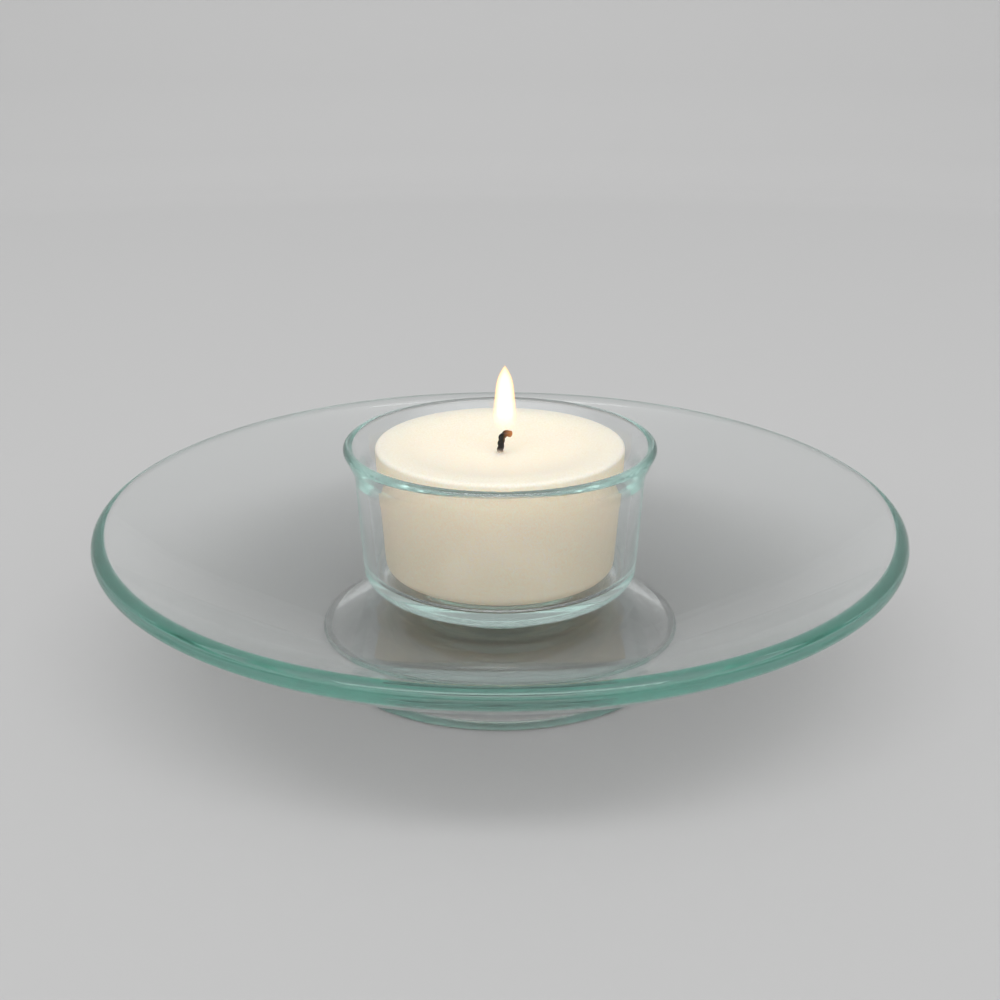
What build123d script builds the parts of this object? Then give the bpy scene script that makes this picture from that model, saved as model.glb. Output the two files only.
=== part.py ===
from build123d import *
import math
import os

# A glass candle plate: a dished plate on a short neck and a domed foot, with a glass tealight cup
# standing on its flat centre and a wax tealight standing in the cup. Millimetres, +Z up, and the
# origin is on the table under the middle of the foot.

# Wax tealight
candle_diameter = 39.9          # across the top edge
candle_height = 20.2
candle_draft = 3.4              # degrees, narrower towards the bottom
candle_base_radius = 2.2        # round of the lower edge
candle_edge_radius = 0.5        # round of the top edge
candle_land = 2.0               # flat ring round the top, outside the dip
candle_dip = 1.9                # how far the burnt top sinks at the wick

# Wick and the tab that holds it
wick_diameter = 1.2
wick_straight = 2.1             # upright length above the wax
wick_bend_radius = 1.2
wick_bend_angle = 80.0          # degrees, how far the burnt tip bends over
wick_tip_radius = 0.3
tab_diameter = 13.0
tab_thickness = 0.4
tab_neck_wall = 0.5
tab_neck_height = 4.0
wick_fit = 0.05                 # clearance of the tab and the wick in the wax

# Glass tealight cup
candle_gap = 1.6                # from the top edge of the candle to the cup's wall
cup_wall = 1.7
cup_draft = 3.2                 # degrees, narrower towards the base
cup_base_thickness = 2.4
cup_above_candle = 0.5          # lip above the top of the wax
cup_lip_height = 4.6            # height of the flared part
cup_lip_flare = 2.1             # how far the lip stands out from the neck
cup_lip_radius = 0.7            # round of each edge of the lip
cup_neck_radius = 7.0           # curve of the neck, on its outside
cup_corner_radius = 2.4         # outer round of the base
cup_well_radius = 1.5           # inner round of the base
cup_punt_depth = 0.3            # hollow under the base, so that the cup stands on a ring
cup_stand_width = 3.0           # width of that ring

# Glass plate with its domed foot
plate_diameter = 127.0
plate_thickness = 3.0
plate_depth = 13.25             # from the flat centre up to the top of the edge
plate_edge_radius = 1.35        # round of each corner of the fire-polished edge
plate_floor_margin = 0.8        # flat centre beyond the wall of the cup
foot_diameter = 60.0            # outside, where it stands
foot_height = 9.2               # from the table to the flat underside of the plate
foot_wall = 2.4
foot_neck_diameter = 24.0       # narrowest part, between the plate and the foot
foot_neck_height = 2.6          # from the crown of the foot up to the plate
foot_edge_radius = 1.1          # round of each corner of the standing edge
foot_ground = 0.45              # ground off that edge, to stand flat

# Heights
floor_bottom = foot_height
floor_top = floor_bottom + plate_thickness
cup_bottom = floor_top
candle_bottom = cup_bottom + cup_base_thickness
candle_top = candle_bottom + candle_height
candle_middle = candle_top - candle_dip
cup_top = candle_top + cup_above_candle
cup_neck = cup_top - cup_lip_height
foot_crown = floor_bottom - foot_neck_height

# Radii
candle_top_radius = candle_diameter / 2
candle_foot_radius = candle_top_radius - candle_height * math.tan(math.radians(candle_draft))
wick_radius = wick_diameter / 2
tab_radius = tab_diameter / 2
tab_neck_radius = wick_radius + tab_neck_wall
neck_inside = candle_top_radius + candle_gap
neck_outside = neck_inside + cup_wall
cup_taper = (cup_neck - cup_bottom) * math.tan(math.radians(cup_draft))
cup_base_radius = neck_outside - cup_taper
floor_radius = cup_base_radius + plate_floor_margin
neck_round = foot_neck_height / 2
crown_radius = foot_neck_diameter / 2 + neck_round


def smooth_arc(run, rise, thickness):
    """Radius and angle of an arc that leaves a flat smoothly and rises that far over a run, with its
    angle taken on by half a thickness, to the end of a rounded edge."""
    angle = 2 * math.atan2(rise, run)
    radius = run / math.sin(angle)
    return radius, math.degrees(angle + thickness / 2 / radius)


# The plate is one sheet of even thickness: its middle line is flat under the cup, then a single arc
# up to the middle of the rounded edge. The foot is another such sheet the other way up: flat under
# the neck, then a single arc down to the middle of the standing edge.
half_sheet = plate_thickness / 2
rim_run = plate_diameter / 2 - half_sheet - floor_radius
bowl_radius, bowl_angle = smooth_arc(rim_run, plate_depth, plate_thickness)
bowl_centre = (floor_radius, floor_top - half_sheet + bowl_radius)
half_wall = foot_wall / 2
foot_run = foot_diameter / 2 - half_wall - crown_radius
foot_drop = foot_crown - foot_wall + foot_ground
dome_radius, dome_angle = smooth_arc(foot_run, foot_drop, foot_wall)
dome_centre = (crown_radius, foot_crown - half_wall - dome_radius)


def round_off(section, corners, radius):
    """Round the corners of a half section that lie nearest to some points."""
    found = section.vertices()
    fillet([found.sort_by_distance(corner)[0] for corner in corners], radius)


def make_plate():
    with BuildSketch(Plane.XZ) as section:
        with BuildLine():
            upper = CenterArc(bowl_centre, bowl_radius - half_sheet, -90, bowl_angle)
            lower = CenterArc(bowl_centre, bowl_radius + half_sheet, -90, bowl_angle)
            edge = Line(upper @ 1, lower @ 1)
            neck = CenterArc((crown_radius, floor_bottom - neck_round), neck_round, 90, 180)
            Line(lower @ 0, neck @ 0)
            outside = CenterArc(dome_centre, dome_radius + half_wall, 90, -dome_angle)
            inside = CenterArc(dome_centre, dome_radius - half_wall, 90, -dome_angle)
            stand = Line(outside @ 1, inside @ 1)
            Polyline(inside @ 0, (0, foot_crown - foot_wall), (0, floor_top), upper @ 0)
        make_face()
        round_off(section, [edge @ 0, edge @ 1], plate_edge_radius)
        round_off(section, [stand @ 0, stand @ 1], foot_edge_radius)
        Rectangle(foot_diameter, foot_wall, align=(Align.MIN, Align.MAX), mode=Mode.SUBTRACT)
    return revolve(section.sketch, Axis.Z)


def cup_outline(wall, base, corner, neck_curve):
    """Half section of the cup, filled in, at a depth inside its outer face."""
    points = [
        (0, cup_bottom + base),
        (cup_base_radius - wall, cup_bottom + base),
        (neck_outside - wall, cup_neck),
        (neck_outside + cup_lip_flare - wall, cup_top),
        (0, cup_top),
    ]
    with BuildSketch(Plane.XZ) as outline:
        with BuildLine():
            Polyline(*points, close=True)
        make_face()
        round_off(outline, [points[1]], corner)
        round_off(outline, [points[2]], neck_curve)
    return outline.sketch


def make_tealight_cup():
    lip_outside = neck_outside + cup_lip_flare
    stand_radius = cup_base_radius - cup_corner_radius - cup_stand_width
    outside = cup_outline(0, 0, cup_corner_radius, cup_neck_radius)
    inside = cup_outline(cup_wall, cup_base_thickness, cup_well_radius, cup_neck_radius + cup_wall)
    with BuildSketch(Plane.XZ) as section:
        add(outside)
        add(inside, mode=Mode.SUBTRACT)
        with BuildLine():
            Polyline((0, cup_bottom + cup_punt_depth), (0, cup_bottom), (stand_radius, cup_bottom))
            TangentArc((0, cup_bottom + cup_punt_depth), (stand_radius, cup_bottom), tangent=(1, 0))
        make_face(mode=Mode.SUBTRACT)
        round_off(section, [(lip_outside, cup_top), (lip_outside - cup_wall, cup_top)], cup_lip_radius)
    return revolve(section.sketch, Axis.Z)


def make_candle_wax():
    well_edge = candle_top_radius - candle_land
    tab_space = tab_radius + wick_fit
    neck_space = tab_neck_radius + wick_fit
    with BuildSketch(Plane.XZ) as section:
        with BuildLine():
            Polyline(
                (0, candle_middle),
                (0, candle_bottom),
                (candle_foot_radius, candle_bottom),
                (candle_top_radius, candle_top),
                (well_edge, candle_top),
            )
            TangentArc((0, candle_middle), (well_edge, candle_top), tangent=(1, 0))
        make_face()
        round_off(section, [(candle_foot_radius, candle_bottom)], candle_base_radius)
        round_off(section, [(candle_top_radius, candle_top)], candle_edge_radius)
        with Locations((0, candle_bottom)):
            from_floor = (Align.MIN, Align.MIN)
            Rectangle(wick_radius + wick_fit, candle_height, align=from_floor, mode=Mode.SUBTRACT)
            Rectangle(tab_space, tab_thickness + wick_fit, align=from_floor, mode=Mode.SUBTRACT)
            Rectangle(neck_space, tab_neck_height + wick_fit, align=from_floor, mode=Mode.SUBTRACT)
    return revolve(section.sketch, Axis.Z)


def make_wick():
    upright_top = candle_middle + wick_straight
    bend_turn = math.radians(wick_bend_angle)
    tip = (
        wick_bend_radius * (1 - math.cos(bend_turn)),
        0,
        upright_top + wick_bend_radius * math.sin(bend_turn),
    )
    upright = Line((0, 0, candle_bottom), (0, 0, upright_top))
    bend = TangentArc((0, 0, upright_top), tip, tangent=(0, 0, 1))
    strand = sweep(Plane((0, 0, candle_bottom)) * Circle(wick_radius), Wire([upright, bend]))
    end = strand.faces().sort_by_distance(tip)[0]
    return fillet(end.edges(), wick_tip_radius)


def make_wick_sustainer():
    with BuildSketch(Plane.XZ) as section:
        with BuildLine():
            Polyline(
                (wick_radius, candle_bottom),
                (tab_radius, candle_bottom),
                (tab_radius, candle_bottom + tab_thickness),
                (tab_neck_radius, candle_bottom + tab_thickness),
                (tab_neck_radius, candle_bottom + tab_neck_height),
                (wick_radius, candle_bottom + tab_neck_height),
                close=True,
            )
        make_face()
    return revolve(section.sketch, Axis.Z)


pieces = {
    "plate": make_plate(),
    "tealight_cup": make_tealight_cup(),
    "candle_wax": make_candle_wax(),
    "wick": make_wick(),
    "wick_sustainer": make_wick_sustainer(),
}

os.makedirs("parts", exist_ok=True)
for name, piece in pieces.items():
    export_step(piece, f"parts/{name}.step")
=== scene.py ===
from math import asin, atan2, cos, degrees, pi, radians, sin, sqrt, tan

import bmesh
import bpy
from mathutils import Matrix, Vector


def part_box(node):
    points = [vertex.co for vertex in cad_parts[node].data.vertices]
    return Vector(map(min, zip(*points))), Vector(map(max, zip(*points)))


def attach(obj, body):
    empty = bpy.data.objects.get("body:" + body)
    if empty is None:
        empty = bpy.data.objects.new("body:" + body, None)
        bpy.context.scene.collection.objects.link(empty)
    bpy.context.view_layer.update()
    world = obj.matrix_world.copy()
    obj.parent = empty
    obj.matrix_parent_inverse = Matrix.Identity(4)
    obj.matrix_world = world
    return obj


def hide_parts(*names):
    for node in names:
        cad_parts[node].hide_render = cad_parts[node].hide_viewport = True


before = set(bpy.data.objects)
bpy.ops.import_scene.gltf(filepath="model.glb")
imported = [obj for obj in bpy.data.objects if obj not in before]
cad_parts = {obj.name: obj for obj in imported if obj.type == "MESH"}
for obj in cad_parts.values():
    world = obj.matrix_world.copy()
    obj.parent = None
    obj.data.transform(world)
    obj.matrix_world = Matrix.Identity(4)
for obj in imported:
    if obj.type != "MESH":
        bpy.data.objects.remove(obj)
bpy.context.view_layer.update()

scene = bpy.context.scene
mm = 0.001
mergeGap = 0.0005            # mm, points nearer than this become one
sharpAngle = radians(40)     # an edge that turns more than this stays crisp
print("frame loaded:", sorted(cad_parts))


def nodeSpan(node):  # bottom, top and outer radius of a CAD piece, in mm
    low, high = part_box(node)
    return low.z / mm, high.z / mm, (high.x - low.x) / 2 / mm


# outlines are drawn in mm as (distance from the axis, height), then turned round the axis

def startOutline(point):
    bm = bmesh.new()
    return bm, bm.verts.new((point[0], 0, point[1]))


def lineTo(bm, last, point):
    end = bmesh.ops.extrude_vert_indiv(bm, verts=[last])["verts"][0]
    end.co = (point[0], 0, point[1])
    return end


def arcTo(bm, last, centre, turn, steps):  # turn in degrees, plus is anticlockwise
    made = bmesh.ops.spin(bm, geom=[last], cent=(centre[0], 0, centre[1]), axis=(0, -1, 0),
                          angle=radians(turn), steps=steps)
    return made["geom_last"][0]


def cornersTo(bm, last, stops, steps):  # straight runs; a stop is (radius, height, round of its corner)
    for number, (r, z, bend) in enumerate(stops):
        if not bend:
            last = lineTo(bm, last, (r, z))
            continue
        corner = Vector((r, z))
        after = Vector(stops[number + 1][:2])
        ahead = (corner - Vector((last.co.x, last.co.z))).normalized()
        away = (after - corner).normalized()
        turn = atan2(ahead.x * away.y - ahead.y * away.x, ahead.dot(away))
        begin = corner - ahead * bend * tan(abs(turn) / 2)
        side = bend if turn > 0 else -bend
        centre = (begin.x - ahead.y * side, begin.y + ahead.x * side)
        last = lineTo(bm, last, begin)
        last = arcTo(bm, last, centre, degrees(turn), steps)
    return last


def smoothArc(run, rise):  # turn in degrees and radius of an arc that leaves a flat and rises over a run
    turn = 2 * atan2(rise, run)
    return degrees(turn), run / sin(turn)


def turnOutline(bm, turns):
    bmesh.ops.spin(bm, geom=bm.verts[:] + bm.edges[:], cent=(0, 0, 0), axis=(0, 0, 1),
                   angle=2 * pi, steps=turns, use_merge=True)


def finishPiece(name, bm, material):
    bmesh.ops.remove_doubles(bm, verts=bm.verts[:], dist=mergeGap)
    bmesh.ops.recalc_face_normals(bm, faces=bm.faces[:])
    bmesh.ops.scale(bm, vec=(mm, mm, mm), verts=bm.verts[:])
    for face in bm.faces:
        face.smooth = True
    for edge in bm.edges:
        edge.smooth = edge.calc_face_angle(0) < sharpAngle
    mesh = bpy.data.meshes.new(name)
    bm.to_mesh(mesh)
    bm.free()
    mesh.materials.append(material)
    piece = bpy.data.objects.new(name, mesh)
    scene.collection.objects.link(piece)
    return piece


# materials: small helpers for node trees

def newMaterial(name):
    material = bpy.data.materials.new(name)
    material.use_nodes = True
    tree = material.node_tree
    return material, tree, tree.nodes["Principled BSDF"]


def addNode(tree, kind, **settings):
    node = tree.nodes.new(kind)
    for key, value in settings.items():
        setattr(node, key, value)
    return node


def objectPoint(tree):
    return addNode(tree, "ShaderNodeTexCoord").outputs["Object"]


def axisParts(tree, where):  # x, y, z of a point
    node = addNode(tree, "ShaderNodeSeparateXYZ")
    tree.links.new(where, node.inputs["Vector"])
    return node.outputs


def noise(tree, where, scale, detail=3.0, rough=0.5):
    node = addNode(tree, "ShaderNodeTexNoise")
    node.inputs["Scale"].default_value = scale
    node.inputs["Detail"].default_value = detail
    node.inputs["Roughness"].default_value = rough
    tree.links.new(where, node.inputs["Vector"])
    return node.outputs["Fac"]


def ramp(tree, value, stops):  # stops are (place, colour)
    node = addNode(tree, "ShaderNodeValToRGB")
    band = node.color_ramp
    while len(band.elements) < len(stops):
        band.elements.new(0.5)
    for element, (place, colour) in zip(band.elements, stops):
        element.position = place
        element.color = (*colour, 1)
    tree.links.new(value, node.inputs["Fac"])
    return node.outputs["Color"]


def fadeAlong(tree, value, fade, share=1.0):  # a ramp of plain strengths, each times a share
    return ramp(tree, value, [(place, (strength * share,) * 3) for place, strength in fade])


def span(tree, value, low, high, toLow=0.0, toHigh=1.0):
    node = addNode(tree, "ShaderNodeMapRange", clamp=True)
    for socket, number in zip(("From Min", "From Max", "To Min", "To Max"), (low, high, toLow, toHigh)):
        node.inputs[socket].default_value = number
    tree.links.new(value, node.inputs["Value"])
    return node.outputs["Result"]


def shifted(tree, value, grain, amount):  # a value moved by a grain times an amount
    node = addNode(tree, "ShaderNodeMath", operation="MULTIPLY_ADD")
    tree.links.new(grain, node.inputs[0])
    node.inputs[1].default_value = amount
    tree.links.new(value, node.inputs[2])
    return node.outputs["Value"]


def bump(tree, shader, height, strength, distance):
    node = addNode(tree, "ShaderNodeBump")
    node.inputs["Strength"].default_value = strength
    node.inputs["Distance"].default_value = distance
    tree.links.new(height, node.inputs["Height"])
    tree.links.new(node.outputs["Normal"], shader.inputs["Normal"])


# pressed glass: clear, with the green of a window pane where light runs through a long way of it

glassFinish = {
    "ior": 1.52,
    "tint": (0.19, 0.62, 0.53),
    "plateDensity": 12.0,     # per metre
    "cupDensity": 9.0,
    "waveScale": 60.0,        # per metre
    "waveDetail": 2.0,
    "waveStrength": 0.3,
    "waveDepth": 0.00002,     # metres
    "groundRough": 0.35,
    "groundEnds": (0.00002, 0.00006),   # metres above a ground face, where its roughness ends
}


def pressedGlass(name, density, groundAt=None):  # groundAt is the height of a face ground to stand on
    finish = glassFinish
    material, tree, shader = newMaterial(name)
    shader.inputs["Base Color"].default_value = (1, 1, 1, 1)
    shader.inputs["Transmission Weight"].default_value = 1.0
    shader.inputs["Roughness"].default_value = 0.0
    shader.inputs["IOR"].default_value = finish["ior"]
    where = objectPoint(tree)
    if groundAt is not None:
        low, high = (groundAt + part for part in finish["groundEnds"])
        rough = span(tree, axisParts(tree, where)["Z"], low, high, finish["groundRough"], 0.0)
        tree.links.new(rough, shader.inputs["Roughness"])
    waves = noise(tree, where, finish["waveScale"], finish["waveDetail"])
    bump(tree, shader, waves, finish["waveStrength"], finish["waveDepth"])
    volume = addNode(tree, "ShaderNodeVolumeAbsorption")
    volume.inputs["Color"].default_value = (*finish["tint"], 1)
    volume.inputs["Density"].default_value = density
    tree.links.new(volume.outputs["Volume"], tree.nodes["Material Output"].inputs["Volume"])
    return material


# the plate: a flat middle and one arc out to the round edge, on a short neck and a domed foot

plateShape = {
    "sheet": 3.0,            # thickness
    "depth": 13.25,          # flat middle to the edge
    "flatRadius": 23.02,
    "flatRing": 0.6,         # share of the flat's radius, where its faces are parted
    "neckRadius": 12.0,      # narrowest place under the sheet
    "neckHeight": 2.6,
    "footRadius": 30.0,      # outside, where it stands
    "footWall": 2.4,
    "footGround": 0.45,      # ground flat where it stands
    "groundBevel": 0.12,
    "bevelSteps": 3,
    "bowlSteps": 40,
    "edgeSteps": 24,
    "neckSteps": 20,
    "domeSteps": 24,
    "standSteps": 12,
    "turns": 256,
}


def makePlate():
    shape = plateShape
    bottom, _, radius = nodeSpan("plate")
    floorTop = nodeSpan("tealight_cup")[0]
    under = floorTop - shape["sheet"]

    # the sheet's middle line goes up to the middle of the round edge
    half = shape["sheet"] / 2
    flat = shape["flatRadius"]
    edge = (radius - half, floorTop - half + shape["depth"])
    bowlTurn, bowlRadius = smoothArc(edge[0] - flat, shape["depth"])
    bowlCentre = (flat, floorTop - half + bowlRadius)

    # the foot's middle line goes down to the middle of the standing edge
    wall = shape["footWall"] / 2
    waist = shape["neckHeight"] / 2
    crownStart = shape["neckRadius"] + waist
    crown = under - shape["neckHeight"]
    stand = (shape["footRadius"] - wall, bottom + wall - shape["footGround"])
    domeTurn, domeRadius = smoothArc(stand[0] - crownStart, crown - wall - stand[1])
    domeCentre = (crownStart, crown - wall - domeRadius)
    groundTurn = degrees(asin((stand[1] - bottom) / wall))
    groundIn = sqrt((domeRadius - wall) ** 2 - (bottom - domeCentre[1]) ** 2)
    hollowTurn = degrees(atan2(groundIn, bottom - domeCentre[1]))

    bm, first = startOutline((0, floorTop))
    last = lineTo(bm, first, (flat * shape["flatRing"], floorTop))
    last = lineTo(bm, last, (flat, floorTop))
    last = arcTo(bm, last, bowlCentre, bowlTurn, shape["bowlSteps"])
    last = arcTo(bm, last, edge, -180, shape["edgeSteps"])
    last = arcTo(bm, last, bowlCentre, -bowlTurn, shape["bowlSteps"])
    last = lineTo(bm, last, (crownStart, under))
    last = arcTo(bm, last, (crownStart, under - waist), 180, shape["neckSteps"])
    last = arcTo(bm, last, domeCentre, -domeTurn, shape["domeSteps"])
    last = arcTo(bm, last, stand, domeTurn - 90 - groundTurn, shape["standSteps"])
    last = lineTo(bm, last, (crownStart + groundIn, bottom))
    last = arcTo(bm, last, domeCentre, hollowTurn, shape["domeSteps"])
    lineTo(bm, last, (0, crown - shape["footWall"]))
    turnOutline(bm, shape["turns"])
    bmesh.ops.remove_doubles(bm, verts=bm.verts[:], dist=mergeGap)
    groundEdges = [part for part in bm.edges if part.calc_face_angle(0) > sharpAngle]
    bmesh.ops.bevel(bm, geom=groundEdges, offset=shape["groundBevel"], offset_type="OFFSET",
                    segments=shape["bevelSteps"], profile=0.5, affect="EDGES", material=-1)
    glass = pressedGlass("plateGlass", glassFinish["plateDensity"], bottom * mm)
    piece = finishPiece("plate_glass", bm, glass)
    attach(piece, "plate")
    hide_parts("plate")
    print("plate made:", len(piece.data.polygons), "faces")


# the cup: a thick base, a wall that widens upwards and a flared lip

cupShape = {
    "wall": 1.7,
    "baseRadius": 22.22,
    "neckRadius": 23.25,     # outside, where the lip begins to flare
    "lipHeight": 4.6,
    "lipFlare": 2.1,
    "lipRound": 0.8,
    "neckRound": 7.0,
    "baseRound": 2.4,
    "wellRound": 1.5,
    "standWidth": 3.0,
    "punt": 0.3,             # hollow under the base
    "clear": 0.025,          # keeps its faces off the plate and the wax
    "puntSteps": 10,
    "roundSteps": 12,
    "turns": 224,
}


def makeCup():
    shape = cupShape
    bottom, top, _ = nodeSpan("tealight_cup")
    bottom += shape["clear"]
    floor = nodeSpan("candle_wax")[0] - shape["clear"]
    wall = shape["wall"]
    base = shape["baseRadius"]
    neck = shape["neckRadius"]
    neckTop = top - shape["lipHeight"]
    lip = neck + shape["lipFlare"]
    puntTop = bottom + shape["punt"]
    standIn = base - shape["baseRound"] - shape["standWidth"]
    puntTurn, puntRadius = smoothArc(standIn, shape["punt"])

    bm, first = startOutline((0, puntTop))
    last = arcTo(bm, first, (0, puntTop - puntRadius), -puntTurn, shape["puntSteps"])
    cornersTo(bm, last, [
        (base, bottom, shape["baseRound"]),
        (neck, neckTop, shape["neckRound"]),
        (lip, top, shape["lipRound"]),
        (lip - wall, top, shape["lipRound"]),
        (neck - wall, neckTop, shape["neckRound"] + wall),
        (base - wall, floor, shape["wellRound"]),
        (0, floor, 0),
    ], shape["roundSteps"])
    turnOutline(bm, shape["turns"])
    piece = finishPiece("tealight_cup_glass", bm, pressedGlass("cupGlass", glassFinish["cupDensity"]))
    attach(piece, "cup")
    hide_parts("tealight_cup")
    print("cup made:", len(piece.data.polygons), "faces")


# the wax: a tapered tablet with a shallow burnt dip, and room for the wick and its tab

waxShape = {
    "footRadius": 18.75,
    "baseRound": 2.2,
    "edgeRound": 0.6,
    "land": 2.0,             # flat ring outside the dip
    "dip": 1.9,
    "dipRound": 14.0,        # where the land turns down into the dip
    "tabRadius": 6.55,
    "tabHeight": 0.45,
    "neckRadius": 1.15,      # room for the neck of the tab
    "neckHeight": 4.05,
    "bore": 0.52,
    "climb": 0.5,            # round of the wax drawn up the wick
    "climbTurn": 72.0,
    "roundSteps": 8,
    "dipSteps": 24,
    "turns": 192,
}

waxFinish = {
    "grainScale": 3600.0,    # per metre
    "grainRough": 0.6,
    "shade": (0.32, (0.90, 0.80, 0.63)),      # level of the grain, colour
    "light": (0.66, (0.97, 0.905, 0.785)),
    "grainLevels": (0.3, 0.7),
    "roughness": (0.42, 0.56),                # at those levels
    "softWeight": 0.6,
    "softRadius": (0.0060, 0.0045, 0.0030),   # metres that red, green and blue light go in
    "ior": 1.44,
    "pitScale": 2600.0,      # per metre
    "pitStrength": 0.2,
    "pitDepth": 0.00008,     # metres
    # colour of the painted glow, emission painted into the wax
    "glow": (1.0, 0.80, 0.52),
    # share of the height, strength of the painted glow
    "paintedGlowFade": [(0.0, 0.20), (0.25, 0.18), (0.85, 0.19), (0.93, 0.08), (1.0, 0.02)],
}


def creamWax(bottom, top):
    finish = waxFinish
    material, tree, shader = newMaterial("creamWax")
    where = objectPoint(tree)
    grain = noise(tree, where, finish["grainScale"], rough=finish["grainRough"])
    tree.links.new(ramp(tree, grain, [finish["shade"], finish["light"]]), shader.inputs["Base Color"])
    rough = span(tree, grain, *finish["grainLevels"], *finish["roughness"])
    tree.links.new(rough, shader.inputs["Roughness"])
    shader.inputs["Subsurface Weight"].default_value = finish["softWeight"]
    shader.inputs["Subsurface Radius"].default_value = finish["softRadius"]
    shader.inputs["Subsurface Scale"].default_value = 1.0
    shader.inputs["IOR"].default_value = finish["ior"]
    pits = noise(tree, where, finish["pitScale"])
    bump(tree, shader, pits, finish["pitStrength"], finish["pitDepth"])
    # painted glow: emission painted into the wax, strongest on the sides and fading out at the top,
    # standing in for the flame's light that soaks in and comes out of the sides
    level = span(tree, axisParts(tree, where)["Z"], bottom, top)
    shader.inputs["Emission Color"].default_value = (*finish["glow"], 1)
    tree.links.new(fadeAlong(tree, level, finish["paintedGlowFade"]), shader.inputs["Emission Strength"])
    return material


def makeWax():
    shape = waxShape
    bottom, top, radius = nodeSpan("candle_wax")
    middle = top - shape["dip"]
    well = radius - shape["land"]
    neckTop = bottom + shape["neckHeight"]
    tabTop = bottom + shape["tabHeight"]
    # the dip is two arcs, one turning down from the land and one round its middle
    dipTurn, bothRounds = smoothArc(well, shape["dip"])
    dipRadius = bothRounds - shape["dipRound"]
    climb = shape["climb"]
    climbStart = shape["bore"] + climb * sin(radians(shape["climbTurn"]))
    climbAt = degrees(asin(climbStart / dipRadius))

    bm, first = startOutline((shape["bore"], neckTop))
    last = cornersTo(bm, first, [
        (shape["neckRadius"], neckTop, 0),
        (shape["neckRadius"], tabTop, 0),
        (shape["tabRadius"], tabTop, 0),
        (shape["tabRadius"], bottom, 0),
        (shape["footRadius"], bottom, shape["baseRound"]),
        (radius, top, shape["edgeRound"]),
        (well, top, 0),
    ], shape["roundSteps"])
    last = arcTo(bm, last, (well, top - shape["dipRound"]), dipTurn, shape["roundSteps"])
    last = arcTo(bm, last, (0, middle + dipRadius), climbAt - dipTurn, shape["dipSteps"])
    last = arcTo(bm, last, (last.co.x, last.co.z + climb), -shape["climbTurn"], shape["roundSteps"])
    bm.edges.new((last, first))
    turnOutline(bm, shape["turns"])
    piece = finishPiece("wax_tablet", bm, creamWax(bottom * mm, top * mm))
    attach(piece, "candle")
    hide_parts("candle_wax")
    print("wax made:", len(piece.data.polygons), "faces")


# the wick: a twisted cotton strand, waxy at its foot, charred, its bent end glowing

wickShape = {
    "radius": 0.5,
    "lobes": 3,
    "lobeDepth": 0.14,       # share of the radius
    "twist": 14.0,           # degrees in each step
    "step": 0.12,
    "sides": 24,
    "lean": 6.0,             # degrees, above the wax
    "bendRadius": 1.0,
    "bendTurn": 88.0,        # degrees, on from the lean
    "tipRun": 0.35,
    "tipStep": 0.072,
    "tipRound": (0.96, 0.88, 0.72, 0.45),   # share of the radius, step by step
}

wickFinish = {
    "fibreScale": 5200.0,    # per metre
    "fibreRough": 0.6,
    "fibreReach": 0.0006,    # metres by which the fibres shift the colours
    "fibreStrength": 0.5,
    "fibreDepth": 0.00006,   # metres
    "roughness": 0.85,
    "soaked": (0.0006, 0.0014),             # metres above the wax, where the waxed foot ends
    "waxed": (0.62, 0.52, 0.42),
    "scorched": (0.09, 0.075, 0.065),
    "char": (0.012, 0.011, 0.010),
    "ember": (1.0, 0.36, 0.10),
    "emberGlow": 0.55,
    "emberFrom": 0.40,       # share of the way out to the tip
    "emberPast": 0.0003,     # metres past the tip, where the glow would be full
}


def charredCotton(waxTop, tipX):
    finish = wickFinish
    material, tree, shader = newMaterial("charredCotton")
    where = objectPoint(tree)
    place = axisParts(tree, where)
    fibre = noise(tree, where, finish["fibreScale"], rough=finish["fibreRough"])
    low, high = (waxTop + part for part in finish["soaked"])
    soaked = span(tree, shifted(tree, place["Z"], fibre, finish["fibreReach"]), low, high)
    colours = [(0.0, finish["waxed"]), (0.5, finish["scorched"]), (1.0, finish["char"])]
    tree.links.new(ramp(tree, soaked, colours), shader.inputs["Base Color"])
    shader.inputs["Roughness"].default_value = finish["roughness"]
    shader.inputs["Emission Color"].default_value = (*finish["ember"], 1)
    along = shifted(tree, place["X"], fibre, finish["fibreReach"])
    dark, full = tipX * finish["emberFrom"], tipX + finish["emberPast"]
    glow = span(tree, along, dark, full, 0.0, finish["emberGlow"])
    tree.links.new(glow, shader.inputs["Emission Strength"])
    bump(tree, shader, fibre, finish["fibreStrength"], finish["fibreDepth"])
    return material


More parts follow.
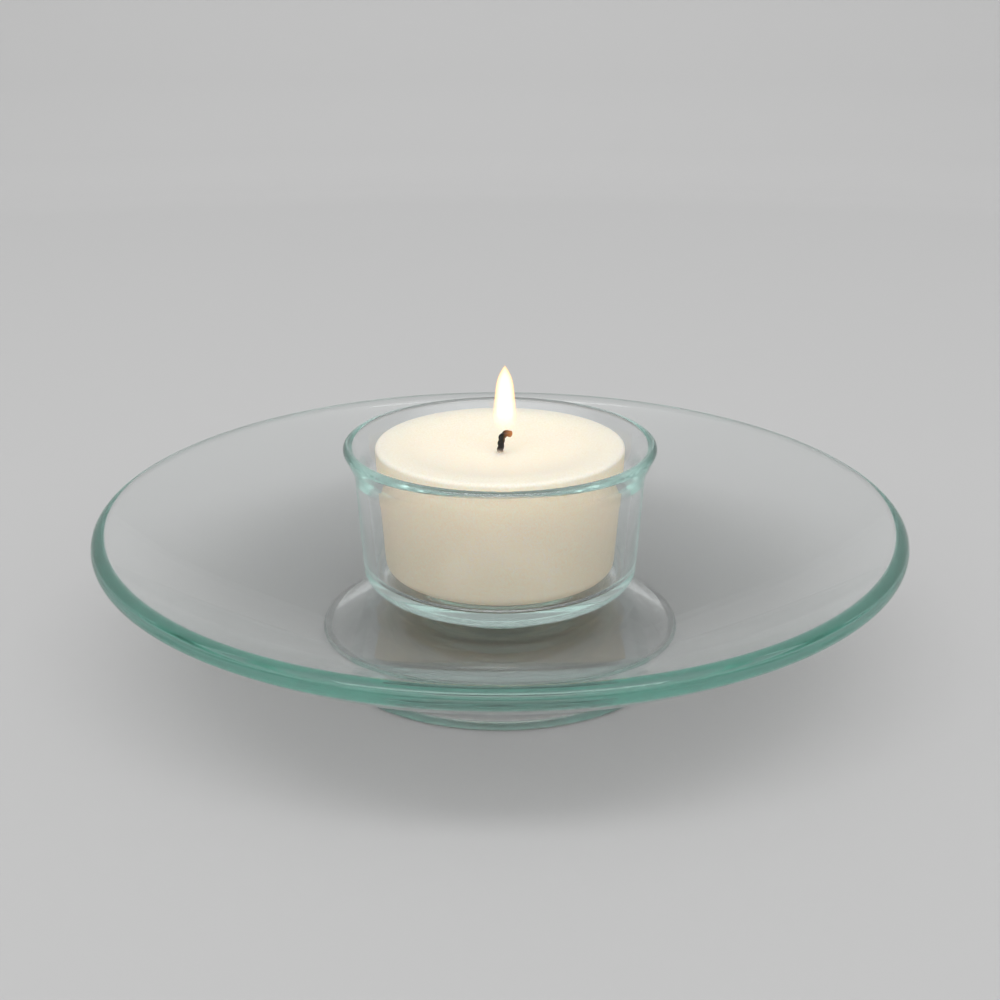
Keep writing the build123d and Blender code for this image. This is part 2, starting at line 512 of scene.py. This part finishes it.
def makeWick():
    shape = wickShape
    bottom, top, _ = nodeSpan("wick")
    waxTop = nodeSpan("candle_wax")[1] - waxShape["dip"]
    bm = bmesh.new()
    ring = bmesh.ops.create_circle(bm, segments=shape["sides"], radius=shape["radius"])["verts"]
    for vert in ring:
        lobe = cos(shape["lobes"] * atan2(vert.co.y, vert.co.x))
        vert.co *= 1 + shape["lobeDepth"] * lobe
    bmesh.ops.translate(bm, verts=ring, vec=(0, 0, bottom))
    edges = bm.edges[:]
    bmesh.ops.contextual_create(bm, geom=edges)
    centre = Vector((0, 0, bottom))
    heading = 0.0

    def grow(edges, length, turn, swell=1.0):  # one ring further along the strand
        nonlocal centre, heading
        made = bmesh.ops.extrude_edge_only(bm, edges=edges)["geom"]
        verts = [part for part in made if isinstance(part, bmesh.types.BMVert)]
        middle = heading + radians(turn) / 2
        heading += radians(turn)
        move = Vector((sin(middle), 0, cos(middle))) * length
        centre += move
        ahead = Vector((sin(heading), 0, cos(heading)))
        lean = Matrix.Rotation(radians(turn), 3, "Y")
        twist = Matrix.Rotation(radians(shape["twist"]), 3, ahead)
        bmesh.ops.translate(bm, verts=verts, vec=move)
        bmesh.ops.rotate(bm, verts=verts, cent=centre, matrix=lean)
        bmesh.ops.rotate(bm, verts=verts, cent=centre, matrix=twist)
        if swell != 1.0:
            bmesh.ops.scale(bm, verts=verts, vec=(swell,) * 3, space=Matrix.Translation(-centre))
        return [part for part in made if isinstance(part, bmesh.types.BMEdge) and part.is_boundary]

    step = shape["step"]
    straight = round((waxTop - bottom) / step)
    bendTop = top - shape["bendRadius"] - shape["radius"]
    upright = round((bendTop - waxTop) / step)
    bend = round(radians(shape["bendTurn"]) * shape["bendRadius"] / step)
    stretches = [(0, straight), (shape["lean"], 1), (0, upright), (shape["bendTurn"] / bend, bend)]
    for turn, count in stretches:
        for _ in range(count):
            edges = grow(edges, step, turn)
    edges = grow(edges, shape["tipRun"], 0)
    size = 1.0
    for share in shape["tipRound"]:
        edges = grow(edges, shape["tipStep"], 0, share / size)
        size = share
    bmesh.ops.contextual_create(bm, geom=edges)
    piece = finishPiece("wick_strand", bm, charredCotton(waxTop * mm, centre.x * mm))
    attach(piece, "candle")
    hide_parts("wick")
    print("wick made:", len(piece.data.polygons), "faces, ends at", [round(part, 2) for part in centre])


# the tab under the wick keeps its CAD shape and gets the finish of tinned steel

tabFinish = {
    "spangleScale": 700.0,   # per metre
    "spangleDetail": 2.0,
    "dark": (0.35, (0.50, 0.51, 0.52)),     # level of the spangle, colour
    "bright": (0.65, (0.70, 0.71, 0.72)),
    "spangleLevels": (0.3, 0.7),
    "roughness": (0.25, 0.42),              # at those levels
    "scuffScale": 4000.0,    # per metre
    "scuffStrength": 0.15,
    "scuffDepth": 0.00003,   # metres
}


def finishTab():
    finish = tabFinish
    material, tree, shader = newMaterial("tinnedSteel")
    where = objectPoint(tree)
    spangle = noise(tree, where, finish["spangleScale"], finish["spangleDetail"])
    tree.links.new(ramp(tree, spangle, [finish["dark"], finish["bright"]]), shader.inputs["Base Color"])
    shader.inputs["Metallic"].default_value = 1.0
    rough = span(tree, spangle, *finish["spangleLevels"], *finish["roughness"])
    tree.links.new(rough, shader.inputs["Roughness"])
    scuffs = noise(tree, where, finish["scuffScale"])
    bump(tree, shader, scuffs, finish["scuffStrength"], finish["scuffDepth"])
    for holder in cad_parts["wick_sustainer"].material_slots:
        holder.material = material
    print("tab finished")


# the flame: thin shells of light, one inside another, so that its edge is soft

flameShape = {
    "lean": 0.75,            # mm from the axis, over the bent wick
    "foot": 35.2,
    "widest": 39.0,
    "tip": 47.2,
    "halfWidth": 1.9,
    "coneAngle": 6.7,        # degrees, side of the lower part
    "tipAngle": 38.0,        # degrees, side at the tip
    "tallShare": 0.55,       # of the height over the widest place, the same in every shell
    "footRise": 1.2,         # how far the foot of a shell of no size would rise
    "shells": ((1.06, 0.10), (1.0, 0.40), (0.90, 0.50), (0.76, 0.6), (0.60, 0.6)),   # size, cover
    "tipSteps": 14,
    "footSteps": 16,
    "turns": 48,
}

flameFinish = {
    "outer": (1.0, 0.50, 0.14),
    "inner": (1.0, 0.95, 0.80),
    "strength": 2.4,
    "fade": [(0.15, 0.0), (0.30, 0.10), (0.45, 0.42), (0.64, 1.0)],   # share of the height, of the cover
}


def flameLight(number, cover):
    shape, finish = flameShape, flameFinish
    material, tree, shader = newMaterial("flame%d" % number)
    tree.nodes.remove(shader)
    height = axisParts(tree, objectPoint(tree))["Z"]
    rise = span(tree, height, shape["foot"] * mm, shape["tip"] * mm)
    inner = number / (len(shape["shells"]) - 1)
    colour = [a + (b - a) * inner for a, b in zip(finish["outer"], finish["inner"])]
    light = addNode(tree, "ShaderNodeEmission")
    light.inputs["Color"].default_value = (*colour, 1)
    light.inputs["Strength"].default_value = finish["strength"]
    clear = addNode(tree, "ShaderNodeBsdfTransparent")
    mix = addNode(tree, "ShaderNodeMixShader")
    tree.links.new(fadeAlong(tree, rise, finish["fade"], cover), mix.inputs["Fac"])
    tree.links.new(clear.outputs["BSDF"], mix.inputs[1])
    tree.links.new(light.outputs["Emission"], mix.inputs[2])
    tree.links.new(mix.outputs["Shader"], tree.nodes["Material Output"].inputs["Surface"])
    return material


def makeFlame():
    shape = flameShape
    widest = shape["widest"]
    tipAngle = radians(shape["tipAngle"])
    coneAngle = radians(shape["coneAngle"])
    for number, (share, cover) in enumerate(shape["shells"]):
        half = shape["halfWidth"] * share
        tall = (shape["tip"] - widest) * (shape["tallShare"] + (1 - shape["tallShare"]) * share)
        tip = widest + tall
        # an arc at the tip that runs on into a cone, down to the widest place
        capRadius = (half - tall * tan(coneAngle)) / (
            cos(coneAngle) - cos(tipAngle) - tan(coneAngle) * (sin(tipAngle) - sin(coneAngle)))
        capCentre = (-capRadius * cos(tipAngle), tip - capRadius * sin(tipAngle))
        drop = widest - shape["foot"] - (1 - share) * shape["footRise"]
        footTurn, footRadius = smoothArc(drop, half)
        bm, first = startOutline((0, tip))
        last = arcTo(bm, first, capCentre, degrees(coneAngle - tipAngle), shape["tipSteps"])
        last = lineTo(bm, last, (half, widest))
        arcTo(bm, last, (half - footRadius, widest), -footTurn, shape["footSteps"])
        turnOutline(bm, shape["turns"])
        bmesh.ops.translate(bm, verts=bm.verts[:], vec=(shape["lean"], 0, 0))
        piece = finishPiece("flame_%d" % number, bm, flameLight(number, cover))
        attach(piece, "candle")
    print("flame made:", len(shape["shells"]), "shells")


makePlate()
makeCup()
makeWax()
makeWick()
finishTab()
makeFlame()

# studio: one pale sweep all round, a wide softbox overhead and a soft sky that is brighter in front

studio = {
    "floorDrop": 0.00003,    # metres, keeps the floor off the foot
    "floorRadius": 0.58,
    "bend": 0.24,
    "wallTop": 0.28,
    "bendSteps": 24,
    "turns": 96,
    "greyHeight": 0.10,
    # painted shade: the sweep's grey darkens up the bend and wall, evening out the extra light they catch
    # where they turn to face the front
    "paintedShadeFade": [(0.0, 0.56), (0.04, 0.537), (0.22, 0.503), (0.65, 0.474)],   # share of that height, grey
    "roughness": 0.9,
    "shine": 0.1,
    "boxSize": (1.10, 0.20),
    "boxPlace": (0.0, -0.42, 0.82),
    "boxPower": 2.1,
    "skyLow": 0.43,
    "skyFront": 1.64,
    "skyTowards": (0.0, -0.92, 0.39),
}


def makeSweep():
    material, tree, shader = newMaterial("paleSweep")
    level = span(tree, axisParts(tree, objectPoint(tree))["Z"], 0.0, studio["greyHeight"])
    # painted shade: darker grey higher up the sweep
    tree.links.new(fadeAlong(tree, level, studio["paintedShadeFade"]), shader.inputs["Base Color"])
    shader.inputs["Roughness"].default_value = studio["roughness"]
    shader.inputs["Specular IOR Level"].default_value = studio["shine"]
    drop = -studio["floorDrop"] / mm
    reach = (studio["floorRadius"] + studio["bend"]) / mm
    corners = [(reach, drop, studio["bend"] / mm), (reach, studio["wallTop"] / mm, 0)]
    bm, first = startOutline((0, drop))
    cornersTo(bm, first, corners, studio["bendSteps"])
    turnOutline(bm, studio["turns"])
    floor = finishPiece("sweep", bm, material)


def makeSoftbox():
    lamp = bpy.data.lights.new("softbox", "AREA")
    lamp.shape = "RECTANGLE"
    lamp.size, lamp.size_y = studio["boxSize"]
    lamp.energy = studio["boxPower"]
    holder = bpy.data.objects.new("softbox", lamp)
    holder.location = studio["boxPlace"]
    holder.rotation_euler = (-Vector(studio["boxPlace"])).to_track_quat("-Z", "Y").to_euler()
    holder.visible_camera = False
    scene.collection.objects.link(holder)


def makeSky():
    world = bpy.data.worlds.new("studio")
    scene.world = world
    world.use_nodes = True
    tree = world.node_tree
    facing = addNode(tree, "ShaderNodeVectorMath", operation="DOT_PRODUCT")
    tree.links.new(addNode(tree, "ShaderNodeTexCoord").outputs["Generated"], facing.inputs[0])
    facing.inputs[1].default_value = studio["skyTowards"]
    sky = addNode(tree, "ShaderNodeMapRange", interpolation_type="SMOOTHSTEP")
    sky.inputs["To Min"].default_value = studio["skyLow"]
    sky.inputs["To Max"].default_value = studio["skyFront"]
    tree.links.new(facing.outputs["Value"], sky.inputs["Value"])
    background = tree.nodes["Background"]
    background.inputs["Color"].default_value = (1, 1, 1, 1)
    tree.links.new(sky.outputs["Result"], background.inputs["Strength"])


makeSweep()
makeSoftbox()
makeSky()
print("studio made")

# camera, as the photograph was taken

view = {
    "place": (0.0, -0.1873, 0.0959),   # metres
    "down": 20.75,           # degrees below level
    "lens": 44.46,           # mm
    "sensor": 36.0,
    "nearest": 0.01,         # metres
}


def makeCamera():
    data = bpy.data.cameras.new("camera")
    data.lens = view["lens"]
    data.sensor_width = view["sensor"]
    data.clip_start = view["nearest"]
    camera = bpy.data.objects.new("camera", data)
    camera.location = view["place"]
    camera.rotation_euler = (radians(90 - view["down"]), 0, 0)
    scene.collection.objects.link(camera)
    scene.camera = camera
    print("camera made")


makeCamera()

bounces = {
    "glass": 96,             # light runs a long way inside the glass edges
    "flame": 24,             # through all the shells of the flame
}

scene.view_settings.view_transform = "Standard"
scene.cycles.max_bounces = bounces["glass"]
scene.cycles.transmission_bounces = bounces["glass"]
scene.cycles.glossy_bounces = bounces["glass"]
scene.cycles.transparent_max_bounces = bounces["flame"]
